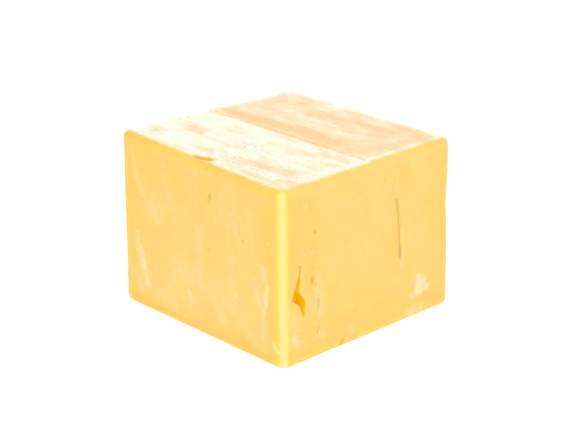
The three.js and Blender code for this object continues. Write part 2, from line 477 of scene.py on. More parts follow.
def pit(face, across, high, wide, tall, deep, turned, seed):
    """A small uneven hollow: a squashed ball sunk halfway into a face. Sizes in mm."""
    bpy.ops.mesh.primitive_ico_sphere_add(subdivisions=BALL_DIVISIONS, radius=1)
    ball = bpy.context.object
    pick(ball, "VERT", np.ones(len(ball.data.vertices)))
    bpy.ops.transform.vertex_random(offset=PIT_UNEVEN, seed=seed)
    done()
    ball.scale = (wide * MM, tall * MM, deep * MM)
    ball.rotation_euler = (0, 0, math.radians(turned))
    ball.location = (across * MM, high * MM, 0)
    apply_scale(ball)
    set_in(ball, face)


for seed, sizes in enumerate(PITS, 1):
    pit(*sizes, seed=seed)
print("pits and chips:", len(PITS))

# %% Cut them all out
bpy.ops.object.select_all(action="DESELECT")
for cutter in cutters:
    cutter.select_set(True)
bpy.context.view_layer.objects.active = cutters[0]
bpy.ops.object.join()
cut = bpy.context.object
only(block)
taken = block.modifiers.new("damage", "BOOLEAN")
taken.operation = "DIFFERENCE"
taken.solver = "MANIFOLD"
taken.object = cut
bpy.ops.object.modifier_apply(modifier=taken.name)
bpy.data.objects.remove(cut)
print("block with its damage:", len(block.data.polygons), "faces")

# %% [markdown]
# ## Marks that the materials read
#
# The whitish smears, the deeper yellow places and the peach stains lie where the photograph shows
# them, so noise alone can't place them. They could be painted by hand. Here each is a stroke, a
# line with a width, written into an attribute of the mesh while the block is still true and a
# place on a face is easy to say. The materials break the strokes up with noise.

# %% Where each point of the mesh lies on the faces
FACE_REACH = 4.5 * MM

at = places(block)
INWARD = {
    "right": WIDTH / 2 - at[:, 0],
    "left": at[:, 1] + DEPTH / 2,
    "back": DEPTH / 2 - at[:, 1],
    "far": at[:, 0] + WIDTH / 2,
    "top": HEIGHT - at[:, 2],
}
ACROSS = {
    "right": at[:, 1:3],
    "left": at[:, 0:3:2],
    "back": at[:, 0:3:2] * (-1, 1),
    "far": at[:, 1:3] * (-1, 1),
    "top": at[:, 0:2],
}
print("points to paint:", len(at))

# %% Painting strokes
WANDER = (430.0, 1010.0, 2270.0)
TINY = 1e-12
MARKED = 0.05


def stroke_weights(face, start, end, wide, points=None):
    """How strongly one stroke marks each vertex: 1 on its line, fading to 0 at its width, in mm."""
    points = ACROSS[face] if points is None else points
    start, end = np.array(start) * MM, np.array(end) * MM
    way = end - start
    share = np.clip((points - start) @ way / max(way @ way, TINY), 0, 1)
    away = np.linalg.norm(points - start - share[:, None] * way, axis=1)
    fade = np.clip(1 - away / (wide * MM), 0, 1)
    return np.where(INWARD[face] < FACE_REACH, fade * fade * (3 - 2 * fade), 0)


def attribute(name, values):
    """Writes one value for each vertex into the mesh, for the material to read."""
    made = block.data.attributes.new(name, "FLOAT", "POINT")
    made.data.foreach_set("value", values.astype(np.float32))
    print(name, "covers", round(100 * float(np.mean(values > MARKED)), 1), "% of the points")


def paint(name, strokes, uneven=0.0):
    """Writes strokes into one attribute, their lines made uneven by a distance in mm."""
    weights = np.zeros(len(at))
    for face, start, end, wide, strength in strokes:
        crossways = ACROSS[face][:, ::-1]
        wander = sum(np.sin(crossways * turns + turns) / len(WANDER) for turns in WANDER)
        points = ACROSS[face] + uneven * MM * wander
        weights = np.maximum(weights, strength * stroke_weights(face, start, end, wide, points))
    attribute(name, weights)


# %% [markdown]
# ### Smears and deeper places
#
# Handling and drying left whitish smears, and near the edges the paste is a deeper yellow. Noise
# alone could draw smears like them, but these are seen one by one, so each has its own stroke,
# with a line that wanders a little. The hidden faces get some too.

# %% Whitish smears
paint(
    "bloom",
    [
        ("left", (-38.3, 63.4), (-34.6, 52), 2.2, 0.5),
        ("left", (-34.6, 52), (-31.5, 46.8), 2.6, 0.5),
        ("left", (-19.2, 61.8), (-15.8, 47.1), 2.4, 0.35),
        ("left", (-26, 43), (-22, 38.5), 4, 0.4),
        ("left", (-35.8, 30), (-34.5, 25), 2.8, 0.65),
        ("left", (-34.5, 25), (-30.3, 11.1), 3.3, 1.1),
        ("left", (-40, 15.7), (-33.2, 8.3), 3, 0.4),
        ("left", (-24, 9), (-14, 8), 5, 0.3),
        ("left", (0.4, 41), (0.6, 20.6), 4, 0.4),
        ("left", (-10, 22), (16, 20), 10, 0.25),
        ("left", (-14, 14), (-4, 12), 8, 0.25),
        ("left", (-5.2, 15.6), (-4.8, 13.2), 1.7, 0.8),
        ("left", (35.4, 37.9), (36, 33), 2.2, 0.8),
        ("left", (31, 31), (33, 24), 3.6, 0.5),
        ("left", (37.4, 31), (36.4, 23), 2, 1.1),
        ("left", (35.4, 22), (34.4, 19), 2, 0.9),
        ("left", (35, 17), (35.6, 6), 3, 0.4),
        ("left", (20.5, 22.8), (21.5, 22.2), 1.8, 0.7),
        ("left", (11.4, 15), (13, 11), 4, 0.45),
        ("left", (18.6, 36), (18.8, 27), 2, 0.35),
        ("left", (18.2, 52), (22.8, 44.2), 2.2, 0.4),
        ("left", (40.5, 10), (42.3, 7.6), 1.4, 1.0),
        ("left", (24, 12), (31, 7), 5, 0.3),
        ("right", (27.5, 14.2), (26.6, 12.4), 4.6, 2.4),
        ("right", (26.4, 17), (26.6, 14), 2.4, 2),
        ("right", (22.8, 10.4), (25, 11), 2.2, 1.8),
        ("right", (31, 11.4), (30, 12), 2.4, 1.6),
        ("right", (20.1, 3.4), (27.4, 4), 3, 0.8),
        ("right", (-38.8, 12), (-36.5, 8.5), 3.4, 0.7),
        ("right", (-40.5, 24), (-38.5, 16), 4.4, 0.4),
        ("right", (-36.2, 43.7), (-33.4, 43.7), 1.2, 0.6),
        ("right", (-29.8, 43.2), (-29.2, 43.2), 1.3, 0.8),
        ("right", (-33, 62.2), (-32.8, 61.6), 1.3, 0.6),
        ("right", (22.2, 64.4), (22.2, 62.6), 1.4, 0.5),
        ("right", (17.1, 40), (17.2, 24), 1.2, 0.35),
        ("right", (16.6, 25.6), (16.5, 24.4), 1, 0.8),
        ("right", (-9.6, 36.2), (3.4, 39.6), 1.3, 0.38),
        ("right", (-27.5, 33.5), (-25.4, 18), 3.2, 0.4),
        ("right", (-26, 10), (-24, 8.4), 2.6, 0.5),
        ("right", (-10.5, 6.5), (-9, 5.5), 2.4, 0.5),
        ("right", (-13, 16.4), (-8.5, 16.2), 1.3, 0.3),
        ("back", (-34, 58), (-30, 40), 2.4, 0.6),
        ("back", (-12, 26), (-10, 9), 3.2, 0.7),
        ("back", (20, 50), (24, 36), 3.4, 0.45),
        ("back", (33, 20), (31, 7), 2.8, 0.8),
        ("back", (4, 14), (14, 10), 5, 0.35),
        ("far", (-36, 36), (-33, 14), 2.6, 0.8),
        ("far", (-16, 58), (-13, 46), 2.2, 0.4),
        ("far", (6, 36), (8, 18), 4, 0.4),
        ("far", (30, 24), (33, 8), 3.2, 0.7),
        ("far", (-14, 9), (2, 8), 5, 0.35),
    ],
    uneven=0.35,
)

# %% Deeper yellow places
paint(
    "deep_tone",
    [
        ("left", (-44, 67), (-10, 67), 5, 0.45),
        ("left", (-10, 67), (42, 67), 2.6, 0.5),
        ("left", (-40, 6), (-20, 3), 7, 0.6),
        ("left", (-42, 64), (-24, 62), 9, 0.5),
        ("left", (-40, 60), (-43, 20), 11, 1.0),
        ("left", (37, 58), (39, 42), 9, 0.9),
        ("left", (39, 42), (40, 8), 7, 0.5),
        ("left", (-30, 62), (-14, 58), 15, 0.8),
        ("left", (26, 5), (42, 3), 7, 1.0),
        ("left", (-26, 34), (-20, 22), 8, 0.35),
        ("left", (-15.4, 14.2), (-15, 13), 1.7, 1.0),
        ("left", (6.8, 56.4), (6.6, 54.6), 2, 1.0),
        ("right", (44, 66), (44, 2), 7, 0.9),
        ("right", (20, 20), (38, 8), 10, 0.35),
        ("right", (-14.5, 3.4), (-14.5, 1), 2, 1.0),
        ("right", (-30, 46), (-29, 36), 4, 0.35),
        ("right", (13.8, 52), (15.7, 41), 1.3, 1.0),
        ("right", (15.7, 41), (16.1, 28), 1.3, 1.0),
        ("back", (-40, 60), (-41, 20), 9, 0.6),
        ("far", (38, 60), (40, 20), 9, 0.6),
    ],
)

# %% [markdown]
# ### The pale top edge
#
# The right face is paler along its top edge, a painted highlight where the rounded edge catches the
# light from above. A line of smears would look speckled there, so this band has an attribute of its
# own, with nothing to break it up.

# %% The pale top edge of the right face
# Painted highlight along the rounded top edge of the right face.
paint("pale_edge_highlight", [("right", (-38, 67.5), (43, 67.5), 4.2, 0.9)])

# %% [markdown]
# ### Brown painted shade, drag lines and crumbs
#
# Brown painted shade lies in the pits, the chip, the torn hole, a crack and on the riser of the
# step. Fine lines run down the sides, where the paste was dragged along the loaf, and some places
# are crumbly. The shade is drawn as strokes. The lines and crumbs are far too many for that, so
# strokes only say where noise may draw them.

# %% Brown painted shade in the hollows
paint(
    "brown_shade",
    [
        ("top", (-3.3, -41.4), (-0.5, -41), 1.6, 1.0),
        ("top", (-0.5, -41), (3.4, -40.4), 1.9, 1.2),
        ("left", (7.3, 57.9), (7.1, 57.1), 0.8, 1.0),
        ("left", (6.8, 56.6), (6.6, 54.8), 1.6, 0.2),
        ("left", (24.7, 45.2), (24.6, 44.7), 0.6, 0.3),
        ("left", (5.7, 36), (5.6, 35.6), 0.7, 0.6),
        ("right", (-35.6, 39.4), (-35.5, 38.4), 0.8, 1.2),
        ("right", (-34.2, 19.6), (-33.6, 19.6), 0.8, 0.6),
        ("right", (-29.0, 34.0), (-29.6, 31.4), 1.7, 0.65),
        ("right", (-27.4, 24), (-27.2, 20), 0.6, 0.6),
        ("right", (-28.6, 51.4), (-28.2, 50.2), 0.9, 0.8),
        ("right", (-14.6, 3.6), (-14.4, 1.6), 1.8, 1.1),
        # Painted shade on the riser of the step, a faint brown line.
        ("top", (-45, -1.45), (30, 1.55), 0.7, 0.12),
    ],
)

# %% Where the drag lines are strong
paint(
    "lines",
    [
        ("left", (-20, 60), (8, 54), 16, 1.0),
        ("left", (8, 50), (28, 44), 16, 1.0),
        ("left", (30, 60), (40, 30), 10, 0.8),
        ("left", (-40, 60), (-36, 20), 8, 0.5),
        ("left", (-6, 40), (4, 8), 12, 0.5),
        ("right", (12, 66), (16, 22), 6, 1.0),
        ("right", (-14, 52), (-12, 15), 6, 0.7),
        ("right", (-34, 62), (-34, 45), 8, 0.7),
        ("right", (30, 60), (32, 30), 8, 0.4),
        ("back", (-20, 56), (16, 44), 18, 0.9),
        ("far", (-24, 52), (20, 48), 18, 0.9),
    ],
)

# %% Where the paste is crumbly
paint(
    "crumbs",
    [
        ("left", (20, 20), (37, 9), 9, 0.6),
        ("left", (41.5, 34), (42, 5), 2.6, 0.8),
        ("right", (-28, 35), (-26.2, 8), 3.2, 1.0),
        ("right", (-38.5, 20), (-36, 6), 4, 0.7),
        ("right", (-34, 46), (-29, 42), 3, 0.5),
        ("right", (-29, 53), (-28, 49), 2, 0.6),
        ("right", (-16, 6), (-8, 5), 3, 0.6),
        ("back", (24, 22), (34, 8), 8, 0.6),
        ("far", (-34, 20), (-24, 8), 7, 0.6),
    ],
)

# %% [markdown]
# ### Pale specks
#
# Dry crumbs stick to the sides, each under two millimetres across. They could be real little
# lumps, but at this size only their colour shows. Each is a stroke that starts and ends at the
# same place.

# %% Pale specks
SPECKS = [
    ("left", 38.3, 48.3, 0.9),
    ("left", 41.7, 47.7, 0.7),
    ("left", 28.6, 66.1, 0.8),
    ("left", 19.0, 32.6, 0.6),
    ("left", 20.6, 22.7, 0.9),
    ("left", -8.8, 4.8, 0.7),
    ("left", 36.9, 37.8, 0.9),
    ("left", 42.6, 7.4, 1.0),
    ("left", 4.0, 36.7, 0.5),
    ("left", 1.9, 34.9, 0.5),
    ("left", 8.9, 31.8, 0.7),
    ("left", 5.9, 27.8, 0.6),
    ("left", 10.6, 32.7, 0.5),
    ("left", 32.3, 38.5, 0.6),
    ("left", 29.6, 32.3, 0.5),
    ("left", 35.7, 17.1, 0.7),
    ("left", 34.6, 10.5, 0.6),
    ("left", 36.8, 21.4, 0.5),
    ("left", 32.5, 17.6, 0.5),
    ("right", -32.7, 61.1, 0.9),
    ("right", -36.4, 51.6, 0.6),
    ("right", -33.8, 43.3, 0.7),
    ("right", -29.4, 42.5, 0.9),
    ("right", -26.8, 49.5, 0.5),
    ("right", -28.7, 33.6, 0.7),
    ("right", -26.2, 30.6, 0.6),
    ("right", -35.6, 14.4, 0.8),
    ("right", -37.1, 12.5, 0.7),
    ("right", -35.1, 9.9, 0.6),
    ("right", -24.2, 22.6, 0.6),
    ("right", -25.7, 19.5, 0.5),
    ("right", -37.5, 23.5, 0.8),
]
paint("specks", [(face, (x, z), (x, z), wide, 1) for face, x, z, wide in SPECKS])

# %% [markdown]
# ### Stains and grit on the top
#
# The dried skin is cream with peach stains, more of them along the step, and near the camera it is
# gritty. Clouds of noise alone would put the stains anywhere, so strokes bring them where they are
# seen, wandering more than the smears do, and one more set says where the grit is thick.

# %% Peach stains on the top
paint(
    "peach",
    [
        ("top", (-38, 3), (-8, 4.5), 6.5, 0.7),
        ("top", (-10, 5), (19, 6.6), 7.5, 0.85),
        ("top", (19, 6.6), (34, 8), 5, 0.45),
        ("top", (22, 8), (36, 12), 6, 0.35),
        ("top", (-10, 27), (30, 32), 7, 0.3),
        ("top", (4, 24), (12, 24), 4, 0.4),
        ("top", (28, 36), (41, 34), 6, 0.4),
        ("top", (38, 20), (40, 30), 7, 0.3),
        ("top", (-38, 28), (-26, 30), 6, 0.25),
        ("top", (-29, -21), (-24, -22), 6, 0.6),
        ("top", (-9.9, -34.6), (-4, -33), 3.5, 0.5),
        ("top", (-36, -35.4), (-35, -33), 2.5, 0.6),
        ("top", (0, -24), (20, -22), 8, 0.2),
        ("top", (12, -35), (30, -29), 10, 0.45),
        ("top", (32, -40), (43, -38), 5, 0.35),
        ("top", (-13.3, -35.0), (-8.5, -33.3), 3.5, 0.35),
        ("top", (19.5, -39.5), (28.3, -37.9), 4, 0.35),
        ("top", (34.5, -36.0), (42.8, -33.3), 4, 0.3),
        ("top", (22.6, 23.1), (28.5, 25.7), 4, 0.4),
        ("top", (37.1, 33.0), (42.6, 33.6), 3.5, 0.45),
        ("top", (4, -12), (34, -10), 7, 0.2),
        ("top", (24, -4), (38, -4), 4.5, 0.4),
        ("top", (-45, -1.6), (20, 1.0), 0.9, 0.5),
        ("top", (20, 1.0), (45, 2.0), 0.9, 0.4),
        ("top", (-4, -41.2), (4, -39.4), 2.6, 0.7),
    ],
    uneven=1.2,
)

# %% Grit on the top
paint(
    "grit",
    [
        ("top", (4, -34), (40, -30), 13, 1.0),
        ("top", (0, -20), (30, -16), 12, 0.7),
        ("top", (-30, -18), (-12, -16), 9, 0.5),
        ("top", (-30, 8), (36, 20), 16, 0.35),
    ],
)

# %% [markdown]
# ### Marks that follow from the shape
#
# The skin ends just short of the top edge. The paste is deeper toward the base, which is painted
# shade, and deeper beside the upright edges, which is painted light shining through the thin edge.
# The edge itself is lighter, a painted highlight, and the damage shows fresh paste. All of this
# could be painted with strokes too, but it follows from where a vertex lies, so distances to the
# edges give it.

# %% The skin and the far half of the top
SKIN_CORNER = 5.5 * MM
SKIN_DEPTH = 1.05
FAR_REACH = 1.1 * MM
FAR_START = 1.5
FAR_FADE = 3 * MM
HALF_RUN = 0.51

step_side = past_step(at)
attribute("far_half", (step_side > -HALF_RUN * STEP_RUN).astype(float))

half_plan = np.array((WIDTH, DEPTH)) / 2
past_corner = np.abs(at[:, :2]) - (half_plan - SKIN_CORNER)
outside = np.linalg.norm(np.maximum(past_corner, 0), axis=1)
inland = SKIN_CORNER - outside - np.minimum(past_corner.max(axis=1), 0)
from_far_side = np.minimum(at[:, 0] + WIDTH / 2, DEPTH / 2 - at[:, 1])
inland += FAR_REACH * np.clip(FAR_START - from_far_side / FAR_FADE, 0, 1)
in_skin = at[:, 2] > HEIGHT - SKIN_DEPTH * TOP_ROUNDING
attribute("inland", np.where(in_skin, inland, 0) / MM)

# %% The edges and the base
NEAR = 7 * MM
NEAR_ON_RIGHT = 0.6
INDOORS = 20 * MM
LOW = 7.5 * MM
LOW_ON_RIGHT = 0.4
LEFT_LAYER = 1 * MM
RIDGE = 4.1 * MM
RIDGE_ASIDE = 0.5 * MM

to_sides = half_plan - np.abs(at[:, :2])
to_edge = to_sides.max(axis=1)
# Painted light: beside each upright edge the paste is a deeper yellow, standing in for light
# shining through the thin edge, fuller on the left and back faces.
near_share = np.where(to_sides[:, 1] < to_sides[:, 0], 1, NEAR_ON_RIGHT)
attribute("near_edge_glow", np.clip(1 - to_edge / NEAR, 0, 1) * near_share)
attribute("indoors", np.clip(np.minimum(to_edge, at[:, 2]) / INDOORS, 0, 1))
# Painted shade: the paste turns deeper toward the base, reaching higher on the left face.
low_reach = np.where(at[:, 1] < LEFT_LAYER - DEPTH / 2, LOW, LOW_ON_RIGHT * LOW)
attribute("low", np.clip(1 - at[:, 2] / low_reach, 0, 1))
# Painted highlight: the middle of each rounded upright edge is made lighter, standing in for the
# light stripe down the edge.
from_ridge = np.abs(to_sides[:, 0] - to_sides[:, 1] + RIDGE_ASIDE)
attribute("ridge_highlight", np.clip(1 - from_ridge / RIDGE, 0, 1) * (to_edge < CORNER_RADIUS))

# %% The hollows
HOLLOW_FULL = 2.5 * MM


def rounded_depth(points):
    """How far each point lies under the surface of the true block."""
    half = np.array((WIDTH, DEPTH, HEIGHT)) / 2
    radii = np.full_like(points, CORNER_RADIUS)
    radii[:, 2] = np.where(points[:, 2] > HEIGHT / 2, TOP_ROUNDING, BASE_ROUNDING)
    from_middle = np.abs(points - np.array((0, 0, HEIGHT / 2)))
    beside = (from_middle - (half - radii)) / radii
    outside = np.linalg.norm(np.maximum(beside, 0), axis=1)
    inside = np.minimum(beside.max(axis=1), 0)
    return (1 - outside - inside) * radii.min(axis=1)


lowered = at.copy()
lowered[:, 2] -= np.where((step_side > 0) & (at[:, 2] > top_edge), STEP_RISE, 0)
attribute("hollow", np.clip(rounded_depth(lowered) / HOLLOW_FULL, 0, 1))

# %% [markdown]
# ## A real block is never true
#
# The corners have drifted by up to a millimetre and a half, the faces are faintly waved, and
# fine lines run down them. All of it could be sculpted by hand. Displace modifiers with cloud
# textures give the waves and lines, and vertex groups keep them off the flat base. A Lattice with
# one point at each corner gives the drift, because it moves all that is between in proportion.

# %% Groups of vertices
WEIGHT_STEPS = 20
BASE_FADE = 6 * MM
TOP_FADE = 2 * MM
DENT_PLACE = (42, 43)
DENT_SIZE = (9, 11)
LIP = ((17.0, 44), (17.3, 24), 1.4)
CRUMBLY_STRIP = ((-27.8, 35), (-26.2, 8), 3.6)


def group(name, weights):
    """A vertex group with a weight for each vertex, in even steps."""
    made = block.vertex_groups.new(name=name)
    steps = np.round(np.clip(weights, 0, 1) * WEIGHT_STEPS).astype(int)
    for step in range(1, WEIGHT_STEPS + 1):
        made.add(np.flatnonzero(steps == step).tolist(), step / WEIGHT_STEPS, "REPLACE")


off_base = np.clip(at[:, 2] / BASE_FADE, 0, 1)
on_top = np.clip(1 - (HEIGHT - at[:, 2]) / TOP_FADE, 0, 1)
group("off_base", off_base)
group("sides", off_base * (1 - on_top))
group("top", on_top)
group("lip", stroke_weights("right", *LIP))
group("crumbs", stroke_weights("right", *CRUMBLY_STRIP))
beside_dent = (at[:, 1] / MM - DENT_PLACE[0]) / DENT_SIZE[0]
above_dent = (at[:, 2] / MM - DENT_PLACE[1]) / DENT_SIZE[1]
dent = np.clip(1 - np.hypot(beside_dent, above_dent), 0, 1)
group("edge_hollow", dent * (INWARD["right"] < FACE_REACH))
print("vertex groups:", [made.name for made in block.vertex_groups])

# %% Waves, lines and crumbs
CLOUD_DETAIL = 2
CLOUD_PLACE = (0.31, 0.17, 0.23)
LIP_RISE = 0.28
EDGE_DENT = 0.45
WAVES = {
    "long_waves": ("off_base", 26, (1, 1, 1), 0.34),
    "lumps": ("off_base", 7, (1, 1, 1.4), 0.10),
    "wire_lines": ("sides", 0.9, (1, 1, 22), 0.11),
    "cut_lines": ("top", 1.6, (7, 1, 1), 0.16),
    "cut_lumps": ("top", 5, (1.8, 1, 1), 0.22),
    "crumbly": ("crumbs", 0.8, (1, 1, 1.6), 0.45),
}


def displace(name, where, strength, texture=None, space=None):
    """Pushes the vertices of a group out along their normals, by a strength in mm."""
    push = block.modifiers.new(name, "DISPLACE")
    push.vertex_group = where
    push.strength = strength * MM
    push.mid_level = 0.5 if texture else 0
    push.texture = texture
    if space:
        push.texture_coords = "OBJECT"
        push.texture_coords_object = space
    only(block)
    bpy.ops.object.modifier_apply(modifier=push.name)


for name, (where, size, stretch_by, strength) in WAVES.items():
    clouds = bpy.data.textures.new(name, "CLOUDS")
    clouds.noise_scale = size * MM
    clouds.noise_depth = CLOUD_DETAIL
    bpy.ops.object.empty_add(location=CLOUD_PLACE)
    space = bpy.context.object
    space.scale = stretch_by
    bpy.context.view_layer.update()
    displace(name, where, strength, clouds, space)
    bpy.data.objects.remove(space)
displace("raised_lip", "lip", LIP_RISE)
displace("edge_dent", "edge_hollow", -EDGE_DENT)
print("waved by", len(WAVES), "textures")

# %% [markdown]
# ### Drifted corners
#
# Each corner of the top has moved its own way in all three directions, and the base only sideways,
# because it stands flat. The moves, in mm, come from fitting a camera to the photograph. Moving
# the corner vertices alone would crease the faces, so the whole block goes along in a cage.

# %% The drift of the corners
SMOOTH_ANGLE = math.radians(40)
CORNERS = {
    (-1, -1): ((-0.29, 0.33, 1.47), (-0.1, -0.63)),
    (1, -1): ((0.17, -0.22, -0.73), (0.21, 0.28)),
    (-1, 1): ((0.53, 0.3, -1.15), (0, 0)),
    (1, 1): ((-0.54, -0.55, -0.78), (0.01, 0.49)),
}

bpy.ops.object.add(type="LATTICE", location=(0, 0, HEIGHT / 2))
cage = bpy.context.object
cage.scale = (WIDTH, DEPTH, HEIGHT)
for way in "uvw":
    setattr(cage.data, "interpolation_type_" + way, "KEY_LINEAR")
for point in cage.data.points:
    x, y, z = (1 if side > 0 else -1 for side in point.co)
    top, base = CORNERS[x, y]
    drift = Vector(top) if z > 0 else Vector((*base, 0))
    point.co_deform = [
        side + move * MM / size for side, move, size in zip(point.co, drift, cage.scale)
    ]
drifted = block.modifiers.new("drift", "LATTICE")
drifted.object = cage
only(block)
bpy.ops.object.modifier_apply(modifier=drifted.name)
bpy.data.objects.remove(cage)

bpy.ops.object.shade_smooth_by_angle(angle=SMOOTH_ANGLE)
print("box in mm:", [round(float(size) / MM, 1) for size in np.ptp(places(block), axis=0)])

# %% [markdown]
# ## The material
#
# Cheese lets light in, so the paste needs subsurface scattering as well as a soft gloss. Two
# materials could share the block, one for the sides and one for the skin, but the skin ends in a
# thin worn edge and not on a line of faces, so one material mixes both by the skin attribute.
# Each colour is a mix of named colours, by the painted strokes and by noise of a fitting size.

# %% Helpers for nodes
class Board:
    """A material's nodes, with short ways to add and join them."""

    def __init__(self, name):
        self.material = bpy.data.materials.new(name)
        self.material.use_nodes = True
        self.tree = self.material.node_tree
        self.shader = self.tree.nodes["Principled BSDF"]
        self.place = self.add("ShaderNodeTexCoord").outputs["Object"]

    def add(self, kind, inputs=(), **settings):
        """Adds a node, sets it up, and joins or sets its inputs."""
        node = self.tree.nodes.new(kind)
        for key, value in settings.items():
            setattr(node, key, value)
        for key, value in dict(inputs).items():
            self.put(node.inputs[key], value)
        return node

    def put(self, socket, value):
        """Joins a socket to a node's output, or sets it to a value."""
        if isinstance(value, bpy.types.NodeSocket):
            self.tree.links.new(value, socket)
        else:
            socket.default_value = value

    def mark(self, name):
        """A painted attribute of the mesh."""
        return self.add("ShaderNodeAttribute", attribute_name=name).outputs["Fac"]

    def noise(self, size, stretch=(1, 1, 1), detail=3.0, rough=0.55, shift=0.0):
        """Noise with cells of a size in mm, drawn out by the stretch along each axis."""
        scale = [1 / (size * MM * part) for part in stretch]
        moved = self.add(
            "ShaderNodeMapping",
            {"Vector": self.place, "Scale": scale, "Location": (shift, shift, shift)},
        )
        made = self.add(
            "ShaderNodeTexNoise",
            {"Vector": moved.outputs[0], "Scale": 1.0, "Detail": detail, "Roughness": rough},
        )
        return made.outputs["Fac"]

    def ramp(self, value, low, high, to_low=0.0, to_high=1.0):
        """Carries a value from one range to another with a smooth start and end."""
        made = self.add(
            "ShaderNodeMapRange",
            {0: value, 1: low, 2: high, 3: to_low, 4: to_high},
            interpolation_type="SMOOTHSTEP",
        )
        return made.outputs[0]

    def maths(self, how, a, b):
        """Adds or multiplies two values."""
        made = self.add("ShaderNodeMath", {0: a, 1: b}, operation=how, use_clamp=False)
        return made.outputs[0]

    def mix(self, share, a, b):
        """Goes from colour a to colour b by a share."""
        made = self.add("ShaderNodeMix", data_type="RGBA")
        self.put(made.inputs[0], share)
        self.put(made.inputs[6], a)
        self.put(made.inputs[7], b)
        return made.outputs[2]


# %% The colours
PASTE = (0.93, 0.52, 0.106, 1)
PASTE_LIGHT = (0.94, 0.555, 0.17, 1)
PASTE_DEEP = (0.92, 0.505, 0.074, 1)
# Painted shade toward the base.
PASTE_LOW_SHADE = (0.92, 0.45, 0.065, 1)
# Painted light shining through the thin upright edges.
PASTE_EDGE_GLOW = (0.93, 0.535, 0.082, 1)
# Painted shade in the drag lines.
PASTE_LINE_SHADE = (0.90, 0.50, 0.095, 1)
# Painted highlight for the middle of the rounded upright edges.
RIDGE_HIGHLIGHT = (0.95, 0.635, 0.25, 1)
BLOOM = (0.96, 0.66, 0.37, 1)
SHALLOW = (0.90, 0.54, 0.12, 1)
TORN = (1.0, 0.585, 0.003, 1)
# Brown painted shade for the hollows, the step and between the crumbs.
BROWN_SHADE = (0.66, 0.41, 0.08, 1)
CRUMB = (0.96, 0.64, 0.28, 1)
CREAM = (0.92, 0.865, 0.70, 1)
SAND = (0.90, 0.675, 0.41, 1)
PEACH = (0.89, 0.54, 0.27, 1)
GRIT = (0.62, 0.50, 0.33, 1)
print("the palest paste is", PASTE_LIGHT[:3], "and the deepest", PASTE_DEEP[:3])

# %% [markdown]
# ## The paste
#
# The sides are one yellow-orange paste, a little hazy in the middle and deeper near the edges. An
# image of it could be wrapped round the block, but it would stretch at the corners and end where
# the photograph ends. Noise in the object's own space goes all round, and where its cells are
# stretched far up and down, it looks like the lines where paste was dragged. Most of the noise
# lies between 0.3 and 0.7, so ramps spread that range out.

# %% The clean paste
MOST_NOISE = (0.3, 0.7)
HAZE_CELLS = 14
HAZE_STRETCH = (1, 1, 1.5)
HAZE_LEAST = 0.15
HAZE_MOST = 0.85

board = Board("cheese_paste_and_skin")
clouding = board.noise(HAZE_CELLS, HAZE_STRETCH, detail=4, shift=3)
haze = board.ramp(clouding, 0.32, 0.68, HAZE_LEAST, HAZE_MOST)
haze = board.maths("MULTIPLY", haze, board.mark("indoors"))
paste = board.mix(haze, PASTE, PASTE_LIGHT)
print("nodes of the clean paste:", len(board.tree.nodes))

# %% Drag lines
DRAG_CELLS = 0.9
DRAG_STRETCH = (1, 1, 17)
DRAG_EVERYWHERE = 0.12
DRAG_DEEP = 0.8

drag = board.noise(DRAG_CELLS, DRAG_STRETCH, detail=3, rough=0.75, shift=7)
drag_places = board.ramp(board.mark("lines"), 0, 1.0, DRAG_EVERYWHERE, 1)
# Painted light and shade: the drag lines are shallow grooves, and their paler and deeper stripes
# stand in for the lit and shaded sides of the grooves.
lit_lines = board.maths("MULTIPLY", board.ramp(drag, 0.48, 0.65, 0, 1), drag_places)
shaded_lines = board.maths("MULTIPLY", board.ramp(drag, 0.32, 0.48, DRAG_DEEP, 0), drag_places)
paste = board.mix(lit_lines, paste, PASTE_LIGHT)
paste = board.mix(shaded_lines, paste, PASTE_LINE_SHADE)
print("nodes with the lines:", len(board.tree.nodes))

# %% Deeper places, the base and the edges
TONE_CELLS = 6
TONE_LEAST = 0.7

tone_break = board.noise(TONE_CELLS, detail=4, shift=11)
tone_break = board.ramp(tone_break, *MOST_NOISE, TONE_LEAST, 1)
tone = board.maths("MULTIPLY", board.mark("deep_tone"), tone_break)
paste = board.mix(tone, paste, PASTE_DEEP)
# Painted shade: deeper toward the base.
paste = board.mix(board.ramp(board.mark("low"), 0.1, 0.95), paste, PASTE_LOW_SHADE)
# Painted light: deeper yellow beside the upright edges, where light shines through.
paste = board.mix(board.ramp(board.mark("near_edge_glow"), 0.15, 0.5), paste, PASTE_EDGE_GLOW)
# Painted highlight along the top edge of the right face.
paste = board.mix(board.mark("pale_edge_highlight"), paste, PASTE_LIGHT)
# Painted highlight down the middle of the upright edges.
paste = board.mix(board.ramp(board.mark("ridge_highlight"), 0.08, 1.02), paste, RIDGE_HIGHLIGHT)
print("nodes with the deeper places:", len(board.tree.nodes))

# %% Smears, broken up
SMEAR_GRAINS = 0.9
SMEAR_PATCHES = 3.4

smear_grain = board.noise(SMEAR_GRAINS, (1, 1, 1.4), detail=5, rough=0.75, shift=5)
smear_grain = board.ramp(smear_grain, 0.36, 0.66, 0.42, 1.18)
smear_patches = board.noise(SMEAR_PATCHES, (1, 1, 2), detail=3, shift=21)
smear_patches = board.ramp(smear_patches, 0.32, 0.64, 0.4, 1.2)
smear = board.maths("MULTIPLY", board.mark("bloom"), smear_grain)
smear = board.maths("MULTIPLY", smear, smear_patches)
paste = board.mix(smear, paste, BLOOM)
print("nodes with the smears:", len(board.tree.nodes))

# %% Hollows, crumbs and specks
BIT_CELLS = 1.0
CRUMB_SHADE = 0.4

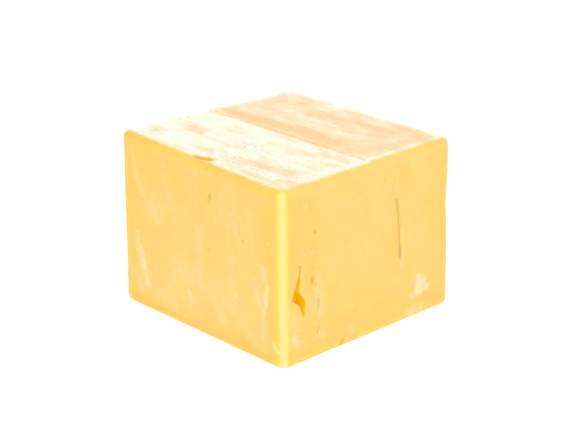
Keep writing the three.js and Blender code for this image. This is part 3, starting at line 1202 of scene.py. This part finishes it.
paste = board.mix(board.ramp(board.mark("hollow"), 0.03, 0.2), paste, SHALLOW)
paste = board.mix(board.ramp(board.mark("hollow"), 0.14, 0.42), paste, TORN)
bits = board.noise(BIT_CELLS, (1, 1, 1.4), detail=2, rough=0.6, shift=17)
pale_bits = board.maths("MULTIPLY", board.mark("crumbs"), board.ramp(bits, 0.56, 0.66))
# Painted shade: dark brown bits among the pale crumbs stand for the shade beside the little lumps.
crumb_shade = board.ramp(bits, 0.32, 0.42, CRUMB_SHADE, 0)
crumb_shade = board.maths("MULTIPLY", board.mark("crumbs"), crumb_shade)
paste = board.mix(pale_bits, paste, CRUMB)
paste = board.mix(board.ramp(board.mark("specks"), 0.1, 0.7), paste, CRUMB)
# Painted shade between the crumbs.
paste = board.mix(crumb_shade, paste, BROWN_SHADE)
print("nodes with the crumbs:", len(board.tree.nodes))

# %% [markdown]
# ## The dried skin
#
# The cut top has dried to a cream skin with sandy and peach clouds. Each cloud could be a mix of
# its own, but stains that overlap should add up. So one number says how stained a place is: the
# strokes, two sizes of noise and a share for the far half. Two mixes turn it into a colour, and a
# stain always fades through sand.

# %% How stained the skin is
STREAK_CELLS = 4.5
STREAKS = 0.27
BLOT_CELLS = 9
BLOTS = 0.16
FAR_STAIN = 0.45
RIM_STAIN = -0.35

streaks = board.noise(STREAK_CELLS, (3, 1, 1), detail=6, rough=0.68, shift=2)
blots = board.noise(BLOT_CELLS, (1.6, 1, 1), detail=5, rough=0.62, shift=9)
stain = board.maths("MULTIPLY", board.mark("far_half"), FAR_STAIN)
stain = board.maths("ADD", stain, board.mark("peach"))
stain = board.maths("ADD", stain, board.ramp(streaks, *MOST_NOISE, -STREAKS, STREAKS))
stain = board.maths("ADD", stain, board.ramp(blots, *MOST_NOISE, -BLOTS, BLOTS))
rim = board.ramp(board.mark("inland"), 3.5, 6.5, RIM_STAIN, 0)
rim = board.maths("MULTIPLY", rim, board.mark("far_half"))
stain = board.maths("ADD", stain, rim)
skin_colour = board.mix(board.ramp(stain, -0.1, 0.6), CREAM, SAND)
skin_colour = board.mix(board.ramp(stain, 0.4, 1.2), skin_colour, PEACH)
print("nodes with the stains:", len(board.tree.nodes))

# %% Grit in the skin
GRIT_CELLS = 1.1
GRIT_PATCHES = 8
GRIT_MOST = 0.68

grit = board.noise(GRIT_CELLS, (1.2, 1, 1), detail=5, rough=0.85, shift=4)
grit_patches = board.noise(GRIT_PATCHES, (1.4, 1, 1), detail=2, shift=19)
grit_patches = board.ramp(grit_patches, 0.35, 0.65, 0.3, 1)
grit_places = board.ramp(board.mark("grit"), 0, 1, 0.3, 1.6)
grit_patches = board.maths("MULTIPLY", grit_patches, grit_places)
grit_share = board.ramp(grit, 0.44, 0.7, 0, GRIT_MOST)
grit_share = board.maths("MULTIPLY", grit_share, grit_patches)
skin_colour = board.mix(grit_share, skin_colour, GRIT)
print("nodes with the grit:", len(board.tree.nodes))

# %% [markdown]
# ### Where the skin ends
#
# The skin wears off along the edges of the top and is missing in the damage. A hard border could
# follow the faces of the mesh but would look like paint, so the skin fades over two millimetres,
# at a distance that noise makes a little uneven.

# %% Skin over paste
WEAR_CELLS = 4
WEAR = 0.1
SKIN_START = 1.4
SKIN_FULL = 3.3

edge_wear = board.noise(WEAR_CELLS, detail=3, shift=6)
edge_wear = board.ramp(edge_wear, *MOST_NOISE, -WEAR, WEAR)
skin_edge = board.maths("ADD", board.mark("inland"), edge_wear)
unbroken = board.ramp(board.mark("hollow"), 0.03, 0.1, 1, 0)
skin = board.maths("MULTIPLY", board.ramp(skin_edge, SKIN_START, SKIN_FULL), unbroken)
surface = board.mix(skin, paste, skin_colour)
# Brown painted shade in the hollows and on the step, laid over everything.
surface = board.mix(board.mark("brown_shade"), surface, BROWN_SHADE)
board.put(board.shader.inputs["Base Color"], surface)
print("nodes of the colour:", len(board.tree.nodes))

# %% [markdown]
# ## Gloss and depth
#
# The sides are moist and softly glossy, and the skin is dull. Light goes some millimetres into the
# paste, red light the farthest, and that is why the torn hole glows. A coat of its own could give
# the gloss, but one roughness that changes with the skin is enough here.

# %% Light inside the cheese
SKIN_ROUGHNESS = 0.85
GLOSSY = 0.34
LESS_GLOSSY = 0.46
COLOUR_REACH = (1.0, 0.5, 0.12)
LIGHT_REACH = 7 * MM
BENDING = 1.45

board.shader.inputs["Subsurface Weight"].default_value = 1.0
board.shader.inputs["Subsurface Radius"].default_value = COLOUR_REACH
board.shader.inputs["Subsurface Scale"].default_value = LIGHT_REACH
board.shader.inputs["IOR"].default_value = BENDING
gloss = board.noise(3, (1, 1, 4), detail=3, shift=8)
gloss = board.ramp(gloss, *MOST_NOISE, GLOSSY, LESS_GLOSSY)
roughness = board.add("ShaderNodeMix", {0: skin, 2: gloss, 3: SKIN_ROUGHNESS})
board.put(board.shader.inputs["Roughness"], roughness.outputs[0])
print("light goes", round(LIGHT_REACH / MM, 1), "mm into the paste")

# %% Fine relief
LINE_SHARE = 0.6
GRAIN_SHARE = 0.4
RELIEF_STRENGTH = 0.25
RELIEF_HEIGHT = 0.08 * MM

fine_lines = board.noise(0.55, (1, 1, 40), detail=3, rough=0.6, shift=1)
grain = board.noise(0.5, detail=3, rough=0.6, shift=12)
fine_lines = board.maths("MULTIPLY", fine_lines, LINE_SHARE)
relief = board.maths("ADD", fine_lines, board.maths("MULTIPLY", grain, GRAIN_SHARE))
bump = board.add(
    "ShaderNodeBump",
    {"Height": relief, "Strength": RELIEF_STRENGTH, "Distance": RELIEF_HEIGHT},
)
board.put(board.shader.inputs["Normal"], bump.outputs[0])

block.data.materials.clear()
block.data.materials.append(board.material)
print("material nodes:", len(board.tree.nodes))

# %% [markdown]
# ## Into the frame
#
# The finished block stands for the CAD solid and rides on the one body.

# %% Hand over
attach(block, "root")
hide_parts("cheese_block")
